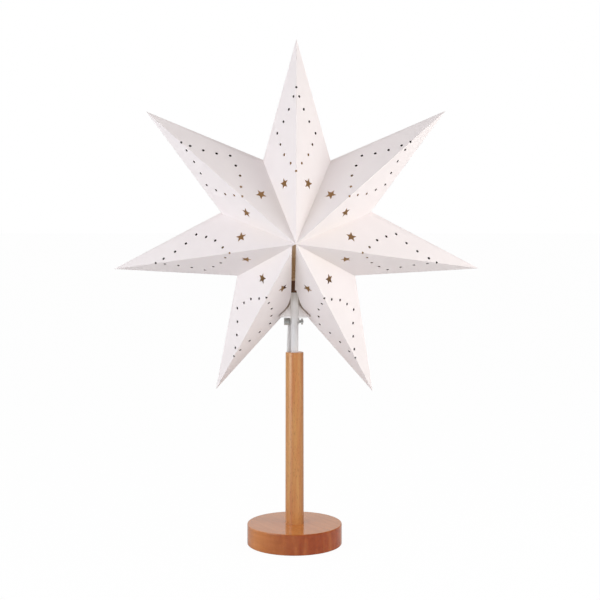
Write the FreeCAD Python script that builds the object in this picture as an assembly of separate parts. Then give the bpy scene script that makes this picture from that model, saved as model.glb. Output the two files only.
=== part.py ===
import FreeCAD, Part
import math
import os

# A paper star lamp: a seven-pointed star of folded white card on a turned wooden stand.
# Millimetres. The origin is under the middle of the foot, +Z is up and the star's face looks to -Y.

os.makedirs("parts", exist_ok=True)
V = FreeCAD.Vector

# Driving sizes of the paper star
CARD = 0.4               # thickness of the card
TIP_R = 243.0            # from the star's centre to the tip of a ray
CORNER_R = 106.2         # from the centre to where the flat panels of a valley would meet
CORNER_BEND = 14.0       # radius of the soft bend along a ray's side, at its valley end
HALF_DEPTH = 90.0        # from the star's middle plane to its front and back points
LEAN = 11.5              # degrees that the star leans to the front
STAR_SIDE = 2.2          # how far the star hangs to the right of the stem
NOTCH_Y = 5.0            # how far behind the stem's axis the corner between the two lowest rays lies
NOTCH_ABOVE_RIM = 18.6   # and how far that corner lies above the seat's rim

# Each ray as its name, how far its ridge lies off an even spacing, and how far the valley after it does,
# in degrees clockwise as seen from the front. The star is folded by hand, so it is a little uneven.
RAYS = [
    ("ray_top", 0.1, 0.7),
    ("ray_upper_right", -0.3, 0.0),
    ("ray_right", -0.2, 0.5),
    ("ray_lower_right", 1.1, 1.2),
    ("ray_lower_left", 0.3, -0.6),
    ("ray_left", 0.0, -0.6),
    ("ray_upper_left", 0.0, 0.4),
]
SLIT_RAY = 3             # the slit follows this ray's last valley
SLIT = 4.8               # width of the slit between the two lowest rays
SLIT_START = 1.5         # from the star's centre line to the slit's upper end
# Above the seat the slit narrows from the mouth to its own width: half widths and heights above the rim
SLIT_FLARE = [(5.4, 25.6), (3.2, 32.0), (2.4, 36.0)]

# The pierced pattern of one half panel. A place is measured from the tip along the ridge, then off it.
DOT_D = 3.6              # punched dots
RIDGE_DOT_D = 2.9        # the two dots on the ridge
DOTS_ON_RIDGE = [62.0, 168.0]
DOTS = [(73.0, 5.5), (88.0, 14.0), (102.0, 24.3), (115.0, 36.0), (130.3, 30.0), (144.5, 22.5), (157.0, 10.4)]
STAR_HOLE = (181.0, 22.2)
STAR_POINTS = 5
STAR_HOLE_R = 7.7        # to the points of a cut-out star
STAR_HOLE_INNER = 3.3    # to its inner corners
STAR_HOLE_TURN = 12.0    # degrees that its first point turns away from the ridge
PUNCH = 3.0              # how far a punch passes each side of the card

# Foot and rod, turned wood
FOOT_R = 61.5
FOOT_TOP = 27.0
FOOT_EDGE = 1.2          # rounding of the foot's two edges
FELT_R = 56.0
FELT_T = 1.2
FELT_PROUD = 0.6         # the part of the felt that stands below the wood
ROD_R_LOW = 11.95
ROD_R_HIGH = 11.65
ROD_TOP = 249.2
ROD_EDGE = 0.5
TENON_R = 9.0
TENON_LENGTH = 15.0
GLUE_GAP = 0.05
ROD_BORE_R = 4.0
ROD_BORE_DROP = 46.0     # from the rod's top to where its bore ends

# Stem, seat and lampholder
STEM_R = 5.0
STEM_WALL = 0.9
STEM_SUNK = 20.0         # length of the stem inside the rod
STEM_SHOWN = 46.2        # from the rod's top to the underside of the seat's rim
STEM_PAST_NUT = 2.0
FIT = 0.1                # clearance round the stem and round the screw
SEAT_RIM = 1.8
SEAT_WALL = 1.8
# The bell of the seat from its rim to its neck: radii and heights above the underside of the rim
BELL = [(20.2, SEAT_RIM), (13.8, 8.0), (9.6, 13.0), (6.9, 18.4), (6.3, 23.0)]
SEAT_NECK = 32.2         # from the underside of the rim to the top of the neck
COLLAR_R = 6.3
COLLAR_LENGTH = 9.6
SCREW_DROP = 6.4         # from the seat's rim down to the clamp screw's axis
SCREW_R = 1.8
SCREW_HEAD_R = 4.9
SCREW_HEAD_LENGTH = 7.2
SCREW_END = 11.6         # from the stem's axis to the screw's far end
SCREW_NUT_R = 3.9
SCREW_NUT_T = 2.4
SCREW_NUT_OFF = 2.2      # from the collar to the nut, which isn't run up tight
PAPER_CLEAR = 0.3        # between the card and the seat

HOLDER_R = 14.0
HOLDER_WALL = 1.6
HOLDER_FLOOR = 2.4
CAP_HEIGHT = 15.4
BODY_HEIGHT = 29.0
BODY_FLOOR = 3.0
THREAD_PITCH = 4.5
THREAD_TURNS = 3
THREAD_DEPTH = 1.0
SHELL_WALL = 0.4
SHELL_LENGTH = 20.0
NUT_R = 6.9
NUT_T = 4.0
CONTACT_R = 2.2
CONTACT_LENGTH = 6.0

BULB_CAP_R = 7.0
BULB_CAP_LENGTH = 24.0
BULB_R = 22.5
BULB_LENGTH = 78.0
THREAD_SLACK = 1.0       # round the bulb's cap in the bore of the lampholder

# The lead inside the lamp, from the lampholder to the outlet at the back of the foot
LEAD_R = 2.5
LEAD_CLEAR = 0.6
LEAD_ARC = 0.45          # share of the shorter run that an arc takes up
LEAD_UPPER = [           # places with their height above the rod's top
    (-6.0, 7.5, 83.8), (-5.9, 8.0, 61.3), (-6.2, 8.2, 38.0), (-6.7, 5.8, 22.0), (-7.5, 4.4, 9.8),
    (-7.8, 4.3, -14.2), (-4.4, 2.2, -41.2), (0.4, -0.4, -73.2),
]
LEAD_LOWER = [           # places with their height above the table
    (-0.5, 0.4, 128.0), (0.5, 0.3, 84.0), (-0.2, 0.1, 50.0), (0.1, 0.8, 30.0), (0.0, 5.0, 17.5),
    (0.0, 17.0, 11.6), (0.0, 37.0, 11.2),
]
OUTLET_Z = 11.5
GROMMET_R = 6.0
GROMMET_DEPTH = 9.0
GROMMET_FLANGE_R = 8.0
GROMMET_FLANGE_T = 2.0
GROMMET_FLAT = 0.6       # depth of the flat that the grommet's flange sits on

MARGIN = 20.0            # how far a long cutter passes what it cuts
OVERLAP = 1.0            # how far a short cutter or a joined piece passes a face

# Heights and places that follow from the sizes above
SEAT_Z = ROD_TOP + STEM_SHOWN
HOLDER_Z = SEAT_Z + SEAT_NECK
STEM_TOP = HOLDER_Z + HOLDER_FLOOR + NUT_T + STEM_PAST_NUT
SHELL_R = BULB_CAP_R + THREAD_SLACK
GROMMET_SEAT = FOOT_R - GROMMET_FLAT
LEAD_ROUTE = [(x, y, ROD_TOP + z) for x, y, z in LEAD_UPPER] + LEAD_LOWER
LEAD_ROUTE.append((0.0, GROMMET_SEAT + GROMMET_FLANGE_T, OUTLET_Z))
RAY_STEP = 360.0 / len(RAYS)
CORNER_ANGLE = math.atan2(HALF_DEPTH, CORNER_R)
NOTCH_R = CORNER_R - CORNER_BEND / math.sin(CORNER_ANGLE) + CORNER_BEND
STAR_Y = NOTCH_Y - NOTCH_R * math.sin(math.radians(LEAN))
STAR_Z = SEAT_Z + NOTCH_ABOVE_RIM + NOTCH_R * math.cos(math.radians(LEAN))


def save(name, shape):
    shape.exportStep("parts/" + name + ".step")


def cylinder(radius, low, high):
    return Part.makeCylinder(radius, high - low, V(0, 0, low))


def turned(outline):
    """A solid turned about the stem's axis from a closed list of (radius, height) points."""
    points = [V(r, 0, z) for r, z in outline]
    face = Part.Face(Part.makePolygon(points + points[:1]))
    return face.revolve(V(0, 0, 0), V(0, 0, 1), 360)


def in_star(degrees, radius, y=0.0):
    """A point of the upright star, clockwise from the top as seen from the front."""
    angle = math.radians(degrees)
    return V(radius * math.sin(angle), y, radius * math.cos(angle))


def half_ray(ridge, valley):
    """The full space inside one half of a ray, between its ridge and one valley."""
    run = CORNER_BEND / math.tan(CORNER_ANGLE)
    bend_r = CORNER_R - run * math.cos(CORNER_ANGLE)
    bend_y = run * math.sin(CORNER_ANGLE)
    front = V(0, -HALF_DEPTH, 0)
    back = V(0, HALF_DEPTH, 0)
    bend_front = in_star(valley, bend_r, -bend_y)
    bend_back = in_star(valley, bend_r, bend_y)
    bend = Part.Arc(bend_front, in_star(valley, NOTCH_R), bend_back).toShape()
    section = Part.Wire([
        Part.makeLine(front, bend_front),
        bend,
        Part.makeLine(bend_back, back),
        Part.makeLine(back, front),
    ])
    return Part.makeLoft([section, Part.Vertex(in_star(ridge, TIP_R))], True, True)


def wall_shift(ridge, valley):
    """How far a ray's space moves along its axis so that the panels left are one card thick."""
    tip = in_star(ridge, TIP_R)
    normal = (V(0, -HALF_DEPTH, 0) - tip).cross(in_star(valley, CORNER_R) - tip)
    return CARD * normal.Length / abs(normal.dot(in_star(ridge, 1.0)))


def star_outline(centre, along, across):
    """A star outline whose first point leans from the line along towards the line across."""
    points = []
    for step in range(2 * STAR_POINTS + 1):
        radius = STAR_HOLE_INNER if step % 2 else STAR_HOLE_R
        angle = math.radians(STAR_HOLE_TURN + 180.0 * step / STAR_POINTS)
        points.append(centre + along * (radius * math.cos(angle)) + across * (radius * math.sin(angle)))
    return Part.makePolygon(points)


def punches(ridge, valley):
    """The punches for the dots and the star of the front panel between a ridge and a valley."""
    tip = in_star(ridge, TIP_R)
    front = V(0, -HALF_DEPTH, 0)
    along = (front - tip).normalize()
    side = in_star(valley, CORNER_R) - tip
    across = (side - along * side.dot(along)).normalize()
    normal = along.cross(across)
    tools = []
    for u, v in DOTS:
        foot = tip + along * u + across * v - normal * PUNCH
        tools.append(Part.makeCylinder(DOT_D / 2, 2 * PUNCH, foot, normal))
    u, v = STAR_HOLE
    centre = tip + along * u + across * v - normal * PUNCH
    tools.append(Part.Face(star_outline(centre, along * -1.0, across)).extrude(normal * (2 * PUNCH)))
    return tools


def ridge_punches(ridge):
    """The dots that lie on the ridge itself, punched straight through the fold."""
    tip = in_star(ridge, TIP_R)
    along = (V(0, -HALF_DEPTH, 0) - tip).normalize()
    outward = along.cross(in_star(ridge, 1.0).cross(V(0, 1, 0))).normalize()
    tools = []
    for u in DOTS_ON_RIDGE:
        tools.append(Part.makeCylinder(RIDGE_DOT_D / 2, 2 * PUNCH, tip + along * u - outward * PUNCH, outward))
    return tools


def slit_cutter():
    """The gap beside the valley between the two lowest rays, open from front to back."""
    valley = RAY_STEP * (SLIT_RAY + 0.5) + RAYS[SLIT_RAY][2]
    depth = HALF_DEPTH + MARGIN
    length = NOTCH_R + MARGIN
    box = Part.makeBox(SLIT, 2 * depth, length, V(0, -depth, SLIT_START))
    box.rotate(V(0, 0, 0), V(0, 1, 0), valley)
    return box


def stand_star(shape):
    """Leans the upright star forward and sets its lowest corner on the stem."""
    shape.rotate(V(0, 0, 0), V(1, 0, 0), LEAN)
    shape.translate(V(STAR_SIDE, STAR_Y, STAR_Z))
    return shape


def ray(index, channel):
    """One ray: a folded card, bent softly along its sides and creased along its ridges."""
    ridge = RAY_STEP * index + RAYS[index][1]
    after = RAY_STEP * (index + 0.5) + RAYS[index][2]
    before = RAY_STEP * (index - 0.5) + RAYS[index - 1][2]
    space = half_ray(ridge, before).fuse(half_ray(ridge, after))
    inner = space.copy()
    inner.translate(in_star(ridge, -wall_shift(ridge, after)))
    card = space.cut(inner)
    tools = punches(ridge, before) + punches(ridge, after) + ridge_punches(ridge)
    card = card.cut(Part.makeCompound(tools))
    if index in (SLIT_RAY, SLIT_RAY + 1):
        card = card.cut(slit_cutter())
    card = stand_star(card)
    if index in (SLIT_RAY, SLIT_RAY + 1):
        card = card.cut(seat_bell(PAPER_CLEAR)).cut(mouth()).cut(channel)
    return max(card.Solids, key=lambda solid: solid.Volume)


def seat_bell(grow):
    """The outside of the seat from its rim to the top of its neck, grown by a clearance."""
    side = [(radius + grow, SEAT_Z + height + grow) for radius, height in BELL]
    low = SEAT_Z - grow
    return turned([(0, low), (side[0][0], low)] + side + [(side[-1][0], HOLDER_Z), (0, HOLDER_Z)])


def mouth():
    """The opening of the two lowest rays in front of the seat, which runs up into their slit."""
    edge = [(radius + PAPER_CLEAR, height + PAPER_CLEAR) for radius, height in BELL[:-1]] + SLIT_FLARE
    edge = [(BELL[0][0] + PAPER_CLEAR, -PAPER_CLEAR)] + edge
    outline = [V(x, 0, SEAT_Z + z) for x, z in edge] + [V(-x, 0, SEAT_Z + z) for x, z in reversed(edge)]
    face = Part.Face(Part.makePolygon(outline + outline[:1]))
    return face.extrude(V(0, -HALF_DEPTH - MARGIN, 0))


def lead_path(report=False):
    """Straight runs through the route's points, joined by arcs that touch both runs."""
    points = [V(*place) for place in LEAD_ROUTE]
    edges = []
    start = points[0]
    for before, corner, after in zip(points, points[1:], points[2:]):
        back = before - corner
        ahead = after - corner
        turn = math.pi - back.getAngle(ahead)
        cut = LEAD_ARC * min(back.Length, ahead.Length)
        radius = cut / math.tan(turn / 2)
        back.normalize()
        ahead.normalize()
        centre = corner + (back + ahead).normalize() * (radius / math.cos(turn / 2))
        middle = centre + (corner - centre).normalize() * radius
        arc_start = corner + back * cut
        arc_end = corner + ahead * cut
        edges.append(Part.LineSegment(start, arc_start).toShape())
        edges.append(Part.Arc(arc_start, middle, arc_end).toShape())
        start = arc_end
        if report:
            print("lead radius %.1f at a turn of %.1f degrees" % (radius, math.degrees(turn)))
    edges.append(Part.LineSegment(start, points[-1]).toShape())
    return Part.Wire(edges)


def lead_tube(radius):
    path = lead_path()
    direction = V(*LEAD_ROUTE[1]) - V(*LEAD_ROUTE[0])
    ring = Part.Wire(Part.makeCircle(radius, V(*LEAD_ROUTE[0]), direction))
    return path.makePipeShell([ring], True, False)


def from_back(radius, near, far):
    """A cylinder on the line of the cable outlet, between two distances behind the foot's middle."""
    return Part.makeCylinder(radius, far - near, V(0, near, OUTLET_Z), V(0, 1, 0))


def foot(channel):
    low = FELT_PROUD
    disc = cylinder(FOOT_R, low, FOOT_TOP)
    rims = [edge for edge in disc.Edges if edge.Curve.TypeId == "Part::GeomCircle"]
    disc = disc.makeFillet(FOOT_EDGE, rims)
    disc = disc.cut(cylinder(FELT_R + FIT, low, FELT_T))
    disc = disc.cut(cylinder(TENON_R + GLUE_GAP, FOOT_TOP - TENON_LENGTH, FOOT_TOP + OVERLAP))
    outlet = from_back(GROMMET_R + FIT, GROMMET_SEAT - GROMMET_DEPTH, GROMMET_SEAT + OVERLAP)
    spot = from_back(GROMMET_FLANGE_R + FIT, GROMMET_SEAT, FOOT_R + MARGIN)
    return disc.cut(outlet.fuse(spot)).cut(channel)


def felt():
    return cylinder(FELT_R, 0, FELT_T)


def rod(channel):
    body = turned([
        (0, FOOT_TOP), (ROD_R_LOW, FOOT_TOP), (ROD_R_HIGH, ROD_TOP - ROD_EDGE),
        (ROD_R_HIGH - ROD_EDGE, ROD_TOP), (0, ROD_TOP),
    ])
    body = body.fuse(cylinder(TENON_R, FOOT_TOP - TENON_LENGTH, FOOT_TOP))
    body = body.cut(cylinder(ROD_BORE_R, FOOT_TOP - TENON_LENGTH - OVERLAP, ROD_TOP - ROD_BORE_DROP))
    body = body.cut(cylinder(STEM_R + GLUE_GAP, ROD_TOP - STEM_SUNK, ROD_TOP + OVERLAP))
    return body.cut(channel)


def across_stem(radius, start, end):
    """A cylinder along X through the stem at the height of the clamp screw."""
    return Part.makeCylinder(radius, end - start, V(start, 0, SEAT_Z - SCREW_DROP), V(1, 0, 0))


def stem():
    tube = cylinder(STEM_R, ROD_TOP - STEM_SUNK, STEM_TOP)
    tube = tube.cut(cylinder(STEM_R - STEM_WALL, ROD_TOP - STEM_SUNK, STEM_TOP))
    return tube.cut(across_stem(SCREW_R + FIT, -MARGIN, MARGIN))


def seat(channel):
    """The moulded bell in the fork of the two lowest rays. Its open front clips on the stem."""
    inner_rim = BELL[0][0] - SEAT_WALL
    inside = [(radius - SEAT_WALL, SEAT_Z + height - SEAT_WALL) for radius, height in BELL[:3]]
    low = SEAT_Z - OVERLAP
    hollow = turned([(COLLAR_R, low), (inner_rim, low)] + inside + [(COLLAR_R, inside[-1][1])])
    body = seat_bell(0.0).cut(hollow)
    body = body.fuse(cylinder(COLLAR_R, SEAT_Z - COLLAR_LENGTH, SEAT_Z))
    body = body.cut(cylinder(STEM_R + FIT, SEAT_Z - MARGIN, HOLDER_Z + OVERLAP))
    reach = BELL[0][0] + MARGIN
    corner = V(-STEM_R - FIT, -reach, SEAT_Z - MARGIN)
    body = body.cut(Part.makeBox(2 * (STEM_R + FIT), reach, HOLDER_Z - SEAT_Z + 2 * MARGIN, corner))
    body = body.cut(across_stem(SCREW_R + FIT, -MARGIN, MARGIN))
    return body.cut(channel)


def seat_screw():
    head = across_stem(SCREW_HEAD_R, -COLLAR_R - FIT - SCREW_HEAD_LENGTH, -COLLAR_R - FIT)
    return head.fuse(across_stem(SCREW_R, -COLLAR_R - FIT, SCREW_END))


def seat_nut():
    near = COLLAR_R + SCREW_NUT_OFF
    nut = across_stem(SCREW_NUT_R, near, near + SCREW_NUT_T)
    return nut.cut(across_stem(SCREW_R, 0, MARGIN))


def holder_cap(channel):
    top = HOLDER_Z + CAP_HEIGHT
    cup = cylinder(HOLDER_R, HOLDER_Z, top)
    cup = cup.cut(cylinder(HOLDER_R - HOLDER_WALL, HOLDER_Z + HOLDER_FLOOR, top))
    cup = cup.cut(cylinder(STEM_R + FIT, HOLDER_Z - OVERLAP, top))
    return cup.cut(channel)


def stem_nut():
    low = HOLDER_Z + HOLDER_FLOOR
    return cylinder(NUT_R, low, low + NUT_T).cut(cylinder(STEM_R, low, low + NUT_T))


def holder_body():
    low = HOLDER_Z + CAP_HEIGHT
    core = cylinder(HOLDER_R, low, low + BODY_HEIGHT)
    root = HOLDER_R - OVERLAP
    for turn in range(THREAD_TURNS):
        z = low + THREAD_PITCH * (turn + 0.5)
        ring = turned([
            (root, z), (HOLDER_R, z), (HOLDER_R + THREAD_DEPTH, z + THREAD_PITCH / 4),
            (HOLDER_R, z + THREAD_PITCH / 2), (root, z + THREAD_PITCH / 2),
        ])
        core = core.fuse(ring)
    core = core.cut(cylinder(SHELL_R, low + BODY_FLOOR, low + BODY_HEIGHT))
    return core.cut(cylinder(CONTACT_R, low, low + BODY_FLOOR))


def screw_shell():
    low = HOLDER_Z + CAP_HEIGHT + BODY_FLOOR
    tube = cylinder(SHELL_R, low, low + SHELL_LENGTH)
    return tube.cut(cylinder(SHELL_R - SHELL_WALL, low, low + SHELL_LENGTH))


def centre_contact():
    low = HOLDER_Z + CAP_HEIGHT
    return cylinder(CONTACT_R, low, low + CONTACT_LENGTH)


def bulb():
    low = HOLDER_Z + CAP_HEIGHT + CONTACT_LENGTH
    cap_top = low + BULB_CAP_LENGTH
    ball = V(0, 0, low + BULB_LENGTH - BULB_R)
    reach = ball.z - cap_top
    # The neck is a straight cone that touches the ball.
    tilt = math.atan2(reach, BULB_CAP_R) - math.acos(BULB_R / math.hypot(reach, BULB_CAP_R))
    touch = V(BULB_R * math.cos(-tilt), 0, ball.z + BULB_R * math.sin(-tilt))
    top = V(0, 0, ball.z + BULB_R)
    side = V(BULB_R, 0, ball.z)
    outline = Part.Wire([
        Part.makeLine(V(0, 0, low), V(BULB_CAP_R, 0, low)),
        Part.makeLine(V(BULB_CAP_R, 0, low), V(BULB_CAP_R, 0, cap_top)),
        Part.makeLine(V(BULB_CAP_R, 0, cap_top), touch),
        Part.Arc(touch, side, top).toShape(),
        Part.makeLine(top, V(0, 0, low)),
    ])
    return Part.Face(outline).revolve(V(0, 0, 0), V(0, 0, 1), 360)


def grommet():
    body = from_back(GROMMET_R, GROMMET_SEAT - GROMMET_DEPTH, GROMMET_SEAT)
    flange = from_back(GROMMET_FLANGE_R, GROMMET_SEAT, GROMMET_SEAT + GROMMET_FLANGE_T)
    return body.fuse(flange)


channel = lead_tube(LEAD_R + LEAD_CLEAR)
lead = lead_tube(LEAD_R)
lead_path(report=True)
length = lead_path().Length
print("lead length %.1f, volume %.1f, section times length %.1f"
      % (length, lead.Volume, math.pi * LEAD_R ** 2 * length))

for number, values in enumerate(RAYS):
    save(values[0], ray(number, channel))
save("foot_disc", foot(channel))
save("foot_felt", felt())
save("rod", rod(channel))
save("stem_tube", stem())
save("star_seat", seat(channel))
save("seat_screw", seat_screw())
save("seat_nut", seat_nut())
save("holder_cap", holder_cap(channel))
save("stem_nut", stem_nut())
save("holder_body", holder_body())
save("screw_shell", screw_shell())
save("centre_contact", centre_contact())
save("bulb", bulb())
save("inner_lead", lead)
save("outlet_grommet", grommet().cut(lead_tube(LEAD_R + FIT)))
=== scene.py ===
import math

import bpy
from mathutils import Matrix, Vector


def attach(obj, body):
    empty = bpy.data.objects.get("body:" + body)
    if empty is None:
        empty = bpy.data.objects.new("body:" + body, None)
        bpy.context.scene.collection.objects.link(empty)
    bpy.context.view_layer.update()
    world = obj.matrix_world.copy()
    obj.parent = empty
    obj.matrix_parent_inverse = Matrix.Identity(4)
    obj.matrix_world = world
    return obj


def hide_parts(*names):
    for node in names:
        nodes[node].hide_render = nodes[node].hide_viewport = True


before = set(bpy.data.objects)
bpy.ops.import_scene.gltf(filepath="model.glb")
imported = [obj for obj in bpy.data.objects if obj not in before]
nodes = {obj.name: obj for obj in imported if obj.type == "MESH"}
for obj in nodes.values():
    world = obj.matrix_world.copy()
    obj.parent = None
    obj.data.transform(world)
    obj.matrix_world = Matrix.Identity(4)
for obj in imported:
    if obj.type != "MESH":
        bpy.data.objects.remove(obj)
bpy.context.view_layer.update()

# Foot: a disc turned from one beech board, stained and lacquered, with painted shade on part of its side.
# Its arrises are rounded on the lathe, and the rod is glued into a hole in its middle.


def linear(code):
    """Linear colour of an sRGB hex value."""
    channels = [int(code[i:i + 2], 16) / 255 for i in (0, 2, 4)]
    return [c / 12.92 if c <= 0.04045 else ((c + 0.055) / 1.055) ** 2.4 for c in channels] + [1.0]


def new_material(name):
    """A material with no nodes yet."""
    material = bpy.data.materials.new(name)
    material.use_nodes = True
    material.node_tree.nodes.clear()
    return material


def add(material, kind, settings=None, links=None):
    """Adds one node. A setting goes to the input of that name, or else to the node itself."""
    node = material.node_tree.nodes.new(kind)
    for name, value in (settings or {}).items():
        if isinstance(name, int) or name in node.inputs:
            node.inputs[name].default_value = value
        else:
            setattr(node, name, value)
    for name, output in (links or {}).items():
        material.node_tree.links.new(output, node.inputs[name])
    return node


def paint(node_name, material):
    """Gives a CAD node its finish."""
    for slot in nodes[node_name].material_slots:
        slot.material = material


# Beech under a satin lacquer. The side of the disc runs from honey to red-brown where its fibres end in it:
# partly end grain that drinks more of the stain, partly painted shade on the side away from the light. The
# eye also gets long soft streaks, short dark flecks a millimetre or two long, and a clear coat that mirrors
# the room at a flat angle.
FOOT_GRAIN = math.radians(-56.0)          # the way the fibres run, from +X
STREAK_CELL = (0.085, 0.006, 0.006)       # length, width and depth of a streak
FLECK_CELL = (0.0022, 0.0004, 0.0004)     # and of a fleck, wider than a real one so that it shows
STAIN_PATCH = (0.01, 0.01, 0.06)          # upright patches in which the end grain drinks more or less
foot_beech = new_material("stained_lacquered_beech")
place = add(foot_beech, "ShaderNodeTexCoord").outputs["Object"]
facing = add(foot_beech, "ShaderNodeNewGeometry").outputs["Normal"]
along_grain = (math.cos(FOOT_GRAIN), math.sin(FOOT_GRAIN), 0.0)
# The red-brown this mask gives the side is partly painted shade, not stain alone.
end_grain = add(foot_beech, "ShaderNodeVectorMath", {"operation": "DOT_PRODUCT", 1: along_grain},
                {0: facing})
end_grain_and_shade = add(foot_beech, "ShaderNodeMath", {"operation": "ABSOLUTE"}, {0: end_grain.outputs["Value"]})
grain_space = add(foot_beech, "ShaderNodeMapping",
                  {"vector_type": "TEXTURE", "Rotation": (0.0, 0.0, FOOT_GRAIN), "Scale": STREAK_CELL},
                  {"Vector": place})
streaks = add(foot_beech, "ShaderNodeTexNoise", {"Scale": 1.0, "Detail": 4.0, "Roughness": 0.6},
              {"Vector": grain_space.outputs["Vector"]})
streak_share = add(foot_beech, "ShaderNodeMapRange", {"From Min": 0.3, "From Max": 0.7},
                   {"Value": streaks.outputs["Fac"]})
honey = add(foot_beech, "ShaderNodeMix", {"data_type": "RGBA", 6: linear("C97B3D"), 7: linear("D6894B")},
            {0: streak_share.outputs["Result"]})
stained_and_shaded = add(foot_beech, "ShaderNodeMix", {"data_type": "RGBA", 6: linear("933E18"), 7: linear("A4491E")},
              {0: streak_share.outputs["Result"]})
patch_space = add(foot_beech, "ShaderNodeMapping", {"vector_type": "TEXTURE", "Scale": STAIN_PATCH},
                  {"Vector": place})
patches = add(foot_beech, "ShaderNodeTexNoise", {"Scale": 1.0, "Detail": 2.0},
              {"Vector": patch_space.outputs["Vector"]})
thirst = add(foot_beech, "ShaderNodeMapRange",
             {"From Min": 0.3, "From Max": 0.7, "To Min": 0.75, "To Max": 1.3},
             {"Value": patches.outputs["Fac"]})
stain_and_shade_taken = add(foot_beech, "ShaderNodeMath", {"operation": "MULTIPLY", "use_clamp": True},
                  {0: end_grain_and_shade.outputs["Value"], 1: thirst.outputs["Result"]})
board = add(foot_beech, "ShaderNodeMix", {"data_type": "RGBA"},
            {0: stain_and_shade_taken.outputs["Value"], 6: honey.outputs[2], 7: stained_and_shaded.outputs[2]})
fleck_space = add(foot_beech, "ShaderNodeMapping",
                  {"vector_type": "TEXTURE", "Rotation": (0.0, 0.0, FOOT_GRAIN), "Scale": FLECK_CELL},
                  {"Vector": place})
flecks = add(foot_beech, "ShaderNodeTexNoise", {"Scale": 1.0, "Detail": 1.0},
             {"Vector": fleck_space.outputs["Vector"]})
fleck_mask = add(foot_beech, "ShaderNodeMapRange", {"From Min": 0.6, "From Max": 0.72, "To Max": 0.45},
                 {"Value": flecks.outputs["Fac"]})
foot_colour = add(foot_beech, "ShaderNodeMix", {"data_type": "RGBA", 7: linear("6E371C")},
                  {0: fleck_mask.outputs["Result"], 6: board.outputs[2]})
foot_lacquer = add(foot_beech, "ShaderNodeBsdfPrincipled",
                   {"Roughness": 0.5, "Specular IOR Level": 0.0, "Coat Weight": 1.0, "Coat Roughness": 0.1,
                    "Coat IOR": 1.5},
                   {"Base Color": foot_colour.outputs[2]})
add(foot_beech, "ShaderNodeOutputMaterial", None, {"Surface": foot_lacquer.outputs["BSDF"]})
paint("foot_disc", foot_beech)

# Felt pad: pressed wool, cut round and glued in a recess under the foot, which it keeps off the table.
# The eye gets a dull, slightly hairy surface in two near browns.
FELT_TUFTS = 900.0    # per metre, a little over 1 mm each, coarser than wool fibres so that they show
felt = new_material("pressed_wool_felt")
place = add(felt, "ShaderNodeTexCoord").outputs["Object"]
fibres = add(felt, "ShaderNodeTexNoise", {"Scale": FELT_TUFTS, "Detail": 4.0}, {"Vector": place})
felt_colour = add(felt, "ShaderNodeMix", {"data_type": "RGBA", 6: linear("3B2E25"), 7: linear("594839")},
                  {0: fibres.outputs["Fac"]})
felt_nap = add(felt, "ShaderNodeBump", {"Strength": 0.6, "Distance": 0.0004},
               {"Height": fibres.outputs["Fac"]})
felt_wool = add(felt, "ShaderNodeBsdfPrincipled", {"Roughness": 0.95, "Sheen Weight": 0.4},
                {"Base Color": felt_colour.outputs[2], "Normal": felt_nap.outputs["Normal"]})
add(felt, "ShaderNodeOutputMaterial", None, {"Surface": felt_wool.outputs["BSDF"]})
paint("foot_felt", felt)

# Outlet bushing: a collar moulded in black rubber, pressed into the back of the foot where the lead comes
# out. The eye gets a dull, nearly black skin with a greyer bloom.
RUBBER_BLOOM = 300.0    # per metre, patches of about 3 mm
rubber = new_material("moulded_rubber")
place = add(rubber, "ShaderNodeTexCoord").outputs["Object"]
bloom = add(rubber, "ShaderNodeTexNoise", {"Scale": RUBBER_BLOOM, "Detail": 3.0}, {"Vector": place})
rubber_colour = add(rubber, "ShaderNodeMix", {"data_type": "RGBA", 6: linear("211F1E"), 7: linear("2E2B29")},
                    {0: bloom.outputs["Fac"]})
rubber_skin = add(rubber, "ShaderNodeBsdfPrincipled", {"Roughness": 0.6},
                  {"Base Color": rubber_colour.outputs[2]})
add(rubber, "ShaderNodeOutputMaterial", None, {"Surface": rubber_skin.outputs["BSDF"]})
paint("outlet_grommet", rubber)

# Rod: a beech dowel, same lacquer but paler stain, its grain along its length, glued into the foot.
# The eye gets soft upright streaks, short dark flecks and a browner right side, partly painted shade and
# partly read as its heartwood.
ROD_STREAK_CELL = (0.0055, 0.0055, 0.09)
ROD_FLECK_CELL = (0.0006, 0.0006, 0.004)
HEARTWOOD_AND_SHADE = (0.0055, 0.0115)    # right of the middle, where the heart begins, and where it is darkest
rod_beech = new_material("lacquered_beech_dowel")
place = add(rod_beech, "ShaderNodeTexCoord").outputs["Object"]
grain_space = add(rod_beech, "ShaderNodeMapping", {"vector_type": "TEXTURE", "Scale": ROD_STREAK_CELL},
                  {"Vector": place})
streaks = add(rod_beech, "ShaderNodeTexNoise", {"Scale": 1.0, "Detail": 4.0, "Roughness": 0.6},
              {"Vector": grain_space.outputs["Vector"]})
streak_colour = add(rod_beech, "ShaderNodeValToRGB", None, {"Fac": streaks.outputs["Fac"]})
streak_colour.color_ramp.elements[0].position = 0.3
streak_colour.color_ramp.elements[0].color = linear("C27846")
streak_colour.color_ramp.elements[1].position = 0.72
streak_colour.color_ramp.elements[1].color = linear("D19A5C")
fleck_space = add(rod_beech, "ShaderNodeMapping", {"vector_type": "TEXTURE", "Scale": ROD_FLECK_CELL},
                  {"Vector": place})
flecks = add(rod_beech, "ShaderNodeTexNoise", {"Scale": 1.0, "Detail": 1.0},
             {"Vector": fleck_space.outputs["Vector"]})
fleck_mask = add(rod_beech, "ShaderNodeMapRange", {"From Min": 0.62, "From Max": 0.72, "To Max": 0.6},
                 {"Value": flecks.outputs["Fac"]})
across = add(rod_beech, "ShaderNodeSeparateXYZ", None, {"Vector": place})
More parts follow.
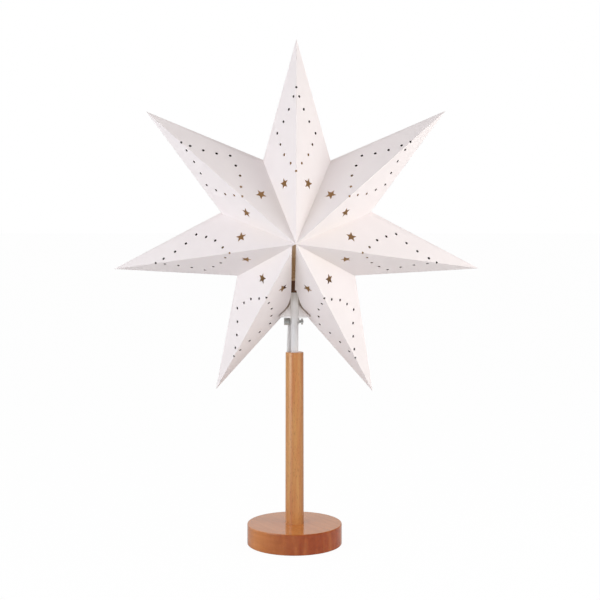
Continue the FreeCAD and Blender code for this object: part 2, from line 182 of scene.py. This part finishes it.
# The browner band on the right is painted shade as well as heartwood.
heart_and_shade_mask = add(rod_beech, "ShaderNodeMapRange",
                 {"From Min": HEARTWOOD_AND_SHADE[0], "From Max": HEARTWOOD_AND_SHADE[1], "To Max": 0.6},
                 {"Value": across.outputs["X"]})
sapwood_and_shaded_heart = add(rod_beech, "ShaderNodeMix", {"data_type": "RGBA", 7: linear("8A5230")},
                        {0: heart_and_shade_mask.outputs["Result"], 6: streak_colour.outputs["Color"]})
rod_colour = add(rod_beech, "ShaderNodeMix", {"data_type": "RGBA", 7: linear("85502C")},
                 {0: fleck_mask.outputs["Result"], 6: sapwood_and_shaded_heart.outputs[2]})
rod_lacquer = add(rod_beech, "ShaderNodeBsdfPrincipled",
                  {"Roughness": 0.5, "Specular IOR Level": 0.0, "Coat Weight": 1.0, "Coat Roughness": 0.3,
                   "Coat IOR": 1.5},
                  {"Base Color": rod_colour.outputs[2]})
add(rod_beech, "ShaderNodeOutputMaterial", None, {"Surface": rod_lacquer.outputs["BSDF"]})
paint("rod", rod_beech)

# Stem: a thin steel tube, powder coated white, let into the top of the rod. The eye gets a satin white with
# a faint orange peel. Between the lower rays the photo shows it brighter than this room's light makes it,
# perhaps from light that comes through the card: a glow stands in for that, matched to the photo.
GLOW_HEIGHT = (0.284, 0.298)    # where the glow begins, and where it is full
PEEL_BUMPS = 700.0              # per metre, bumps of 1.4 mm as on such a coat
powder = new_material("white_powder_coat")
place = add(powder, "ShaderNodeTexCoord").outputs["Object"]
orange_peel = add(powder, "ShaderNodeTexNoise", {"Scale": PEEL_BUMPS, "Detail": 2.0}, {"Vector": place})
powder_colour = add(powder, "ShaderNodeMix", {"data_type": "RGBA", 6: linear("DEDADA"), 7: linear("E6E2E2")},
                    {0: orange_peel.outputs["Fac"]})
peel = add(powder, "ShaderNodeBump", {"Strength": 0.2, "Distance": 0.0001},
           {"Height": orange_peel.outputs["Fac"]})
height = add(powder, "ShaderNodeSeparateXYZ", None, {"Vector": place}).outputs["Z"]
under_star = add(powder, "ShaderNodeMapRange", {"From Min": GLOW_HEIGHT[0], "From Max": GLOW_HEIGHT[1]},
                 {"Value": height})
card_light = add(powder, "ShaderNodeMix", {"data_type": "RGBA", 6: linear("000000"), 7: linear("757371")},
                 {0: under_star.outputs["Result"]})
coat = add(powder, "ShaderNodeBsdfPrincipled", {"Roughness": 0.4, "IOR": 1.5, "Emission Strength": 1.0},
           {"Base Color": powder_colour.outputs[2], "Normal": peel.outputs["Normal"],
            "Emission Color": card_light.outputs[2]})
add(powder, "ShaderNodeOutputMaterial", None, {"Surface": coat.outputs["BSDF"]})
paint("stem_tube", powder)

# Seat: a bell moulded in white ABS that the star rests on, clamped to the stem by a cross screw and a nut.
# The eye gets a satin white with the fine grain of its mould.
MOULD_GRAIN = 1500.0    # per metre, specks of 0.7 mm, coarser than the real grain so that they show
abs_white = new_material("moulded_white_abs")
place = add(abs_white, "ShaderNodeTexCoord").outputs["Object"]
spark = add(abs_white, "ShaderNodeTexNoise", {"Scale": MOULD_GRAIN, "Detail": 2.0}, {"Vector": place})
abs_colour = add(abs_white, "ShaderNodeMix", {"data_type": "RGBA", 6: linear("F2EEEC"), 7: linear("F7F4F2")},
                 {0: spark.outputs["Fac"]})
moulded_grain = add(abs_white, "ShaderNodeBump", {"Strength": 0.25, "Distance": 0.0001},
                    {"Height": spark.outputs["Fac"]})
moulding = add(abs_white, "ShaderNodeBsdfPrincipled", {"Roughness": 0.5, "IOR": 1.5},
               {"Base Color": abs_colour.outputs[2], "Normal": moulded_grain.outputs["Normal"]})
add(abs_white, "ShaderNodeOutputMaterial", None, {"Surface": moulding.outputs["BSDF"]})
paint("star_seat", abs_white)

# Nuts: steel, zinc plated, one in the seat for the screw and one on the stem's end for the lampholder.
# The eye gets a bright grey metal in duller and clearer patches.
ZINC_PATCHES = 400.0    # per metre, patches of 2.5 mm
zinc = new_material("bright_zinc_plate")
place = add(zinc, "ShaderNodeTexCoord").outputs["Object"]
plating = add(zinc, "ShaderNodeTexNoise", {"Scale": ZINC_PATCHES, "Detail": 3.0}, {"Vector": place})
zinc_rough = add(zinc, "ShaderNodeMapRange", {"To Min": 0.25, "To Max": 0.42},
                 {"Value": plating.outputs["Fac"]})
plate = add(zinc, "ShaderNodeBsdfPrincipled", {"Base Color": linear("C9C9C6"), "Metallic": 1.0},
            {"Roughness": zinc_rough.outputs["Result"]})
add(zinc, "ShaderNodeOutputMaterial", None, {"Surface": plate.outputs["BSDF"]})
paint("seat_nut", zinc)
paint("stem_nut", zinc)

# Clamp screw: turned from steel and zinc plated. Its long head has rings cut round it for the fingers, and
# past the collar its thread shows, drawn here as plain rings.
SCREW_SIDES = 48
SCREW_AXIS = 0.289                         # its height
HEAD_START, HEAD_END = -0.0136, -0.0064    # along the screw, from the stem's axis
HEAD_R, HEAD_ROOT = 0.0049, 0.0042
HEAD_CHAMFER, HEAD_EDGE = 0.0005, 0.0004
GROOVES = 4
GROOVE_SHARES = (0.45, 0.55, 0.9)          # of the pitch: a groove's edge, and both ends of its bottom
SHANK_R, THREAD_ROOT = 0.0018, 0.0015
THREAD_START, SHANK_END = 0.0066, 0.0116
THREAD_RINGS = 7
END_CHAMFER = 0.0003
turning = [(HEAD_START, HEAD_ROOT), (HEAD_START + HEAD_CHAMFER, HEAD_R)]
groove_pitch = (HEAD_END - HEAD_START - 2 * HEAD_CHAMFER) / GROOVES
for groove in range(GROOVES):
    begin = HEAD_START + HEAD_CHAMFER + groove * groove_pitch
    edge, deep, deep_end = [begin + share * groove_pitch for share in GROOVE_SHARES]
    turning += [(edge, HEAD_R), (deep, HEAD_ROOT), (deep_end, HEAD_ROOT), (begin + groove_pitch, HEAD_R)]
turning += [(HEAD_END - HEAD_EDGE, HEAD_R), (HEAD_END, HEAD_ROOT), (HEAD_END, SHANK_R)]
thread_pitch = (SHANK_END - END_CHAMFER - THREAD_START) / THREAD_RINGS
for ring in range(THREAD_RINGS):
    begin = THREAD_START + ring * thread_pitch
    turning += [(begin, SHANK_R), (begin + 0.5 * thread_pitch, THREAD_ROOT)]
turning += [(SHANK_END - END_CHAMFER, SHANK_R), (SHANK_END, THREAD_ROOT)]
bpy.ops.object.select_all(action="DESELECT")
bpy.ops.mesh.primitive_circle_add(vertices=SCREW_SIDES, radius=HEAD_ROOT, fill_type="NGON",
                                  location=(HEAD_START, 0.0, SCREW_AXIS),
                                  rotation=(0.0, math.radians(90.0), 0.0))
bpy.ops.object.transform_apply(location=True, rotation=True, scale=True)
clamp_screw = bpy.context.active_object
clamp_screw.name = "clamp_screw"
bpy.ops.object.mode_set(mode="EDIT")
bpy.ops.mesh.select_all(action="SELECT")
for (start, start_r), (end, end_r) in zip(turning, turning[1:]):
    bpy.ops.mesh.extrude_region_move(TRANSFORM_OT_translate={"value": (end - start, 0.0, 0.0)})
    bpy.ops.transform.resize(value=(1.0, end_r / start_r, end_r / start_r),
                             center_override=(end, 0.0, SCREW_AXIS))
bpy.ops.mesh.select_all(action="SELECT")
bpy.ops.mesh.normals_make_consistent(inside=False)
bpy.ops.object.mode_set(mode="OBJECT")
bpy.ops.object.shade_smooth_by_angle(angle=math.radians(30.0))
clamp_screw.data.materials.append(zinc)
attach(clamp_screw, "root")
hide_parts("seat_screw")

# Lampholder: a cap and a cream body, both moulded in a heat-proof plastic and screwed together. The cap's
# brown is painted shade, as less light falls on it. The eye gets a slight gloss and the cloudy flow marks of
# the resin.
FLOW_MARKS = 200.0    # per metre, marks of 5 mm
# The cap's brown tones are painted shade on the same cream moulding as the body.
for name, part, dark, light in (("cream_resin_in_painted_shade", "holder_cap", "6B4D3B", "775745"),
                                ("moulded_cream_urea", "holder_body", "E3D3B8", "EBDDC5")):
    resin = new_material(name)
    place = add(resin, "ShaderNodeTexCoord").outputs["Object"]
    flow = add(resin, "ShaderNodeTexNoise", {"Scale": FLOW_MARKS, "Detail": 3.0}, {"Vector": place})
    resin_colour = add(resin, "ShaderNodeMix", {"data_type": "RGBA", 6: linear(dark), 7: linear(light)},
                       {0: flow.outputs["Fac"]})
    resin_skin = add(resin, "ShaderNodeBsdfPrincipled", {"Roughness": 0.35},
                     {"Base Color": resin_colour.outputs[2]})
    add(resin, "ShaderNodeOutputMaterial", None, {"Surface": resin_skin.outputs["BSDF"]})
    paint(part, resin)

# Contacts: a shell and a centre contact pressed from brass sheet, set in the lampholder's body.
# The eye gets a yellow metal that is duller where it has tarnished.
TARNISH = 250.0    # per metre, patches of 4 mm
brass = new_material("pressed_brass")
place = add(brass, "ShaderNodeTexCoord").outputs["Object"]
tarnish = add(brass, "ShaderNodeTexNoise", {"Scale": TARNISH, "Detail": 3.0}, {"Vector": place})
brass_rough = add(brass, "ShaderNodeMapRange", {"To Min": 0.2, "To Max": 0.4},
                  {"Value": tarnish.outputs["Fac"]})
brass_skin = add(brass, "ShaderNodeBsdfPrincipled", {"Base Color": linear("D9B26A"), "Metallic": 1.0},
                 {"Roughness": brass_rough.outputs["Result"]})
add(brass, "ShaderNodeOutputMaterial", None, {"Surface": brass_skin.outputs["BSDF"]})
paint("screw_shell", brass)
paint("centre_contact", brass)

# Bulb: an opal ball on a short neck, screwed into the holder and unlit. The eye gets a clean white
# with a soft gloss. Its faint warm glow stands in for light that the opal passes on, matched to the photo.
OPAL_CLOUDS = 60.0    # per metre, clouds of about 17 mm
opal = new_material("opal_bulb")
place = add(opal, "ShaderNodeTexCoord").outputs["Object"]
cloud = add(opal, "ShaderNodeTexNoise", {"Scale": OPAL_CLOUDS, "Detail": 2.0}, {"Vector": place})
opal_colour = add(opal, "ShaderNodeMix", {"data_type": "RGBA", 6: linear("F0EBDD"), 7: linear("F7F3E8")},
                  {0: cloud.outputs["Fac"]})
opal_skin = add(opal, "ShaderNodeBsdfPrincipled",
                {"Roughness": 0.3, "IOR": 1.5, "Emission Color": linear("4A3B2E"), "Emission Strength": 1.0},
                {"Base Color": opal_colour.outputs[2]})
add(opal, "ShaderNodeOutputMaterial", None, {"Surface": opal_skin.outputs["BSDF"]})
paint("bulb", opal)

# Lead: copper in soft white vinyl, from the lampholder down beside the stem, into the rod and out of the
# foot. The eye gets a dull white, dulled more by handling. In the photo it has no dark edge: an even glow
# stands in for light that milky vinyl passes on from side to side.
HANDLING = 180.0    # per metre, marks of about 5 mm
vinyl = new_material("soft_white_vinyl")
place = add(vinyl, "ShaderNodeTexCoord").outputs["Object"]
dulling = add(vinyl, "ShaderNodeTexNoise", {"Scale": HANDLING, "Detail": 3.0}, {"Vector": place})
vinyl_colour = add(vinyl, "ShaderNodeMix", {"data_type": "RGBA", 6: linear("BFBBBA"), 7: linear("C8C4C3")},
                   {0: dulling.outputs["Fac"]})
vinyl_skin = add(vinyl, "ShaderNodeBsdfPrincipled",
                 {"Roughness": 0.45, "Emission Color": linear("595756"), "Emission Strength": 1.0},
                 {"Base Color": vinyl_colour.outputs[2]})
add(vinyl, "ShaderNodeOutputMaterial", None, {"Surface": vinyl_skin.outputs["BSDF"]})
paint("inner_lead", vinyl)

# Star: seven rays of white card, scored, folded and pierced, and glued edge to edge in the valleys.
# The eye gets a smooth bleached outside, a little warmer near the middle. Behind the holes the inside's
# colour is painted light near the bulb and painted shade further out, where no light reaches; its glow
# stands in for light that comes through the card.
STAR_CENTRE = (0.0022, -0.01465, 0.41057)
PANEL_OFFSET = 0.0561    # from the star's centre square to the inside of a panel
OFFSET_SPREAD = 0.002    # by which that differs from ray to ray
WARM_REACH = (0.03, 0.085)    # from the centre, where the outside's warmth begins to fade, and is gone
# Where the painted shade inside begins, and where it is full.
INSIDE_SHADE_REACH = (0.1, 0.115)     # and where the inside begins to darken, and is dark
CARD_FIBRES = 900.0           # per metre, just over 1 mm each, coarser than real fibres so that they show
CARD_MOTTLE = 45.0            # per metre, the cloudiness of the sheet, 22 mm
card = new_material("white_card")
geometry = add(card, "ShaderNodeNewGeometry")
place = add(card, "ShaderNodeTexCoord").outputs["Object"]
from_centre = add(card, "ShaderNodeVectorMath", {"operation": "SUBTRACT", 1: STAR_CENTRE}, {0: place})
offset = add(card, "ShaderNodeVectorMath", {"operation": "DOT_PRODUCT"},
             {0: from_centre.outputs["Vector"], 1: geometry.outputs["True Normal"]})
inside = add(card, "ShaderNodeMath", {"operation": "COMPARE", 1: -PANEL_OFFSET, 2: OFFSET_SPREAD},
             {0: offset.outputs["Value"]})
reach = add(card, "ShaderNodeVectorMath", {"operation": "LENGTH"}, {0: from_centre.outputs["Vector"]})
inside_shade_depth = add(card, "ShaderNodeMapRange", {"From Min": INSIDE_SHADE_REACH[0], "From Max": INSIDE_SHADE_REACH[1]},
            {"Value": reach.outputs["Value"]})
fibre = add(card, "ShaderNodeTexNoise", {"Scale": CARD_FIBRES, "Detail": 3.0}, {"Vector": place})
mottle = add(card, "ShaderNodeTexNoise", {"Scale": CARD_MOTTLE, "Detail": 3.0}, {"Vector": place})
white = add(card, "ShaderNodeMix", {"data_type": "RGBA", 6: linear("F6EBEA"), 7: linear("FAF0EF")},
            {0: mottle.outputs["Fac"]})
# The inside's colour is painted light and shade: warm near the bulb, dark toward the tips.
inside_light_and_shade = add(card, "ShaderNodeMix", {"data_type": "RGBA", 6: linear("C9A27C"), 7: linear("4A4240")},
             {0: inside_shade_depth.outputs["Result"]})
near_bulb = add(card, "ShaderNodeMapRange",
                {"From Min": WARM_REACH[0], "From Max": WARM_REACH[1], "To Min": 1.0, "To Max": 0.0},
                {"Value": reach.outputs["Value"]})
warmed = add(card, "ShaderNodeMix", {"data_type": "RGBA", 7: linear("F8ECE3")},
             {0: near_bulb.outputs["Result"], 6: white.outputs[2]})
card_colour = add(card, "ShaderNodeMix", {"data_type": "RGBA"},
                  {0: inside.outputs["Value"], 6: warmed.outputs[2], 7: inside_light_and_shade.outputs[2]})
tooth = add(card, "ShaderNodeBump", {"Strength": 0.15, "Distance": 0.0001},
            {"Height": fibre.outputs["Fac"]})
seep = add(card, "ShaderNodeMix", {"data_type": "RGBA", 6: linear("62533C"), 7: linear("0C0A09")},
           {0: inside_shade_depth.outputs["Result"]})
glow_colour = add(card, "ShaderNodeMix", {"data_type": "RGBA", 6: linear("000000")},
                  {0: inside.outputs["Value"], 7: seep.outputs[2]})
surface = add(card, "ShaderNodeBsdfPrincipled", {"Roughness": 0.85, "IOR": 1.45, "Emission Strength": 1.0},
              {"Base Color": card_colour.outputs[2], "Normal": tooth.outputs["Normal"],
               "Emission Color": glow_colour.outputs[2]})
add(card, "ShaderNodeOutputMaterial", None, {"Surface": surface.outputs["BSDF"]})
for name in ("ray_top", "ray_upper_right", "ray_right", "ray_lower_right", "ray_lower_left", "ray_left",
             "ray_upper_left"):
    paint(name, card)

# Floor: a plain sheet that takes a soft shadow. The camera sees it nearly as white as the background, the
# wood's lacquer sees a quarter of that, and for all other light it is a light grey sheet.
FLOOR_SIDE = 40.0
FLOOR_WHITE = 0.95        # share of the plain white in what the camera sees
FLOOR_MIRRORED = 0.25     # how much of that reflections see
bpy.ops.object.select_all(action="DESELECT")
bpy.ops.mesh.primitive_plane_add(size=FLOOR_SIDE)
floor = bpy.context.active_object
floor.name = "floor"
floor_white = new_material("floor_white")
seen = add(floor_white, "ShaderNodeLightPath")
glossy = add(floor_white, "ShaderNodeMath", {"operation": "MULTIPLY", 1: FLOOR_MIRRORED},
             {0: seen.outputs["Is Glossy Ray"]})
direct = add(floor_white, "ShaderNodeMath", {"operation": "MAXIMUM"},
             {0: seen.outputs["Is Camera Ray"], 1: glossy.outputs["Value"]})
share = add(floor_white, "ShaderNodeMath", {"operation": "MULTIPLY", 1: FLOOR_WHITE},
            {0: direct.outputs["Value"]})
matt = add(floor_white, "ShaderNodeBsdfPrincipled", {"Base Color": linear("D8D8D8"), "Roughness": 0.9})
bright = add(floor_white, "ShaderNodeEmission", {"Color": linear("FFFFFF"), "Strength": 1.02})
floor_mix = add(floor_white, "ShaderNodeMixShader", None,
                {0: share.outputs["Value"], 1: matt.outputs["BSDF"], 2: bright.outputs["Emission"]})
add(floor_white, "ShaderNodeOutputMaterial", None, {"Surface": floor_mix.outputs["Shader"]})
floor.data.materials.append(floor_white)

# Light: two broad soft boxes at the star's height, about 1.4 m off to the left and right, in a white room.
# The lacquer mirrors the left one only.
for name, spot, power, size, tint, mirrored in (
        ("left_box", (-1.12, -0.86, 0.436), 8.8, (0.86, 0.86), (0.88, 0.95, 1.0), True),
        ("right_box", (1.255, -0.5, 0.47), 9.85, (0.86, 0.86), (0.97, 1.0, 0.98), False)):
    lamp = bpy.data.lights.new(name, "AREA")
    lamp.shape = "RECTANGLE"
    lamp.size, lamp.size_y = size
    lamp.energy = power
    lamp.color = tint
    holder = bpy.data.objects.new(name, lamp)
    holder.location = spot
    holder.rotation_euler = (Vector(STAR_CENTRE) - Vector(spot)).to_track_quat("-Z", "Y").to_euler()
    holder.visible_glossy = mirrored
    bpy.context.collection.objects.link(holder)

# A third one, small and close, shines on the rod alone and draws the soft line down its lacquer.
GLEAM_PLACE = (-0.5, -0.3, 0.22)
gleam = bpy.data.lights.new("gleam_strip", "AREA")
gleam.shape = "RECTANGLE"
gleam.size, gleam.size_y = 0.4, 0.42
gleam.energy = 1.0
gleam_holder = bpy.data.objects.new("gleam_strip", gleam)
gleam_holder.location = GLEAM_PLACE
gleam_holder.rotation_euler = (math.radians(90.0), 0.0, math.atan2(GLEAM_PLACE[0], -GLEAM_PLACE[1]))
gleam_holder.visible_camera = False
gleam_holder.visible_diffuse = False
gleam_holder.light_linking.receiver_collection = bpy.data.collections.new("lit_by_the_gleam")
gleam_holder.light_linking.receiver_collection.objects.link(nodes["rod"])
bpy.context.collection.objects.link(gleam_holder)

# Room: white to the camera and a soft grey fill for the object. What the lacquer mirrors is darker in front
# than behind and darker to the right than to the left, matched to the photo's reflections.
FILL = 0.55
room = bpy.data.worlds.new("white_room")
room.use_nodes = True
room.node_tree.nodes.clear()
seen = add(room, "ShaderNodeLightPath")
outward = add(room, "ShaderNodeTexCoord").outputs["Generated"]
direction = add(room, "ShaderNodeSeparateXYZ", None, {"Vector": outward})
front_to_back = add(room, "ShaderNodeMapRange",
                    {"From Min": -0.2, "From Max": 0.3, "To Min": 0.22, "To Max": 0.87},
                    {"Value": direction.outputs["Y"]})
left_to_right = add(room, "ShaderNodeMapRange",
                    {"From Min": -0.6, "From Max": 0.6, "To Min": 1.6, "To Max": 0.3},
                    {"Value": direction.outputs["X"]})
wall = add(room, "ShaderNodeMath", {"operation": "MULTIPLY"},
           {0: front_to_back.outputs["Result"], 1: left_to_right.outputs["Result"]})
reflected = add(room, "ShaderNodeMapRange", {"To Min": FILL},
                {"Value": seen.outputs["Is Glossy Ray"], "To Max": wall.outputs["Value"]})
strength = add(room, "ShaderNodeMath", {"operation": "MAXIMUM"},
               {0: reflected.outputs["Result"], 1: seen.outputs["Is Camera Ray"]})
sky = add(room, "ShaderNodeBackground", {"Color": linear("FFFFFF")},
          {"Strength": strength.outputs["Value"]})
add(room, "ShaderNodeOutputWorld", None, {"Surface": sky.outputs["Background"]})
bpy.context.scene.world = room

# Camera: level with the star, a little above its centre, its picture plane upright and the frame shifted
# down, as the photo's upright lines and the ellipse of the foot's top ask for.
view = bpy.data.cameras.new("photo_view")
view.sensor_width = 36.0
view.lens = 75.0
view.shift_y = -0.153
view.clip_end = 100.0
camera = bpy.data.objects.new("photo_view", view)
camera.location = (0.0071, -1.6282, 0.4366)
camera.rotation_euler = (math.radians(90.0), 0.0, 0.0)
bpy.context.collection.objects.link(camera)
bpy.context.scene.camera = camera
bpy.context.scene.view_settings.view_transform = "Standard"
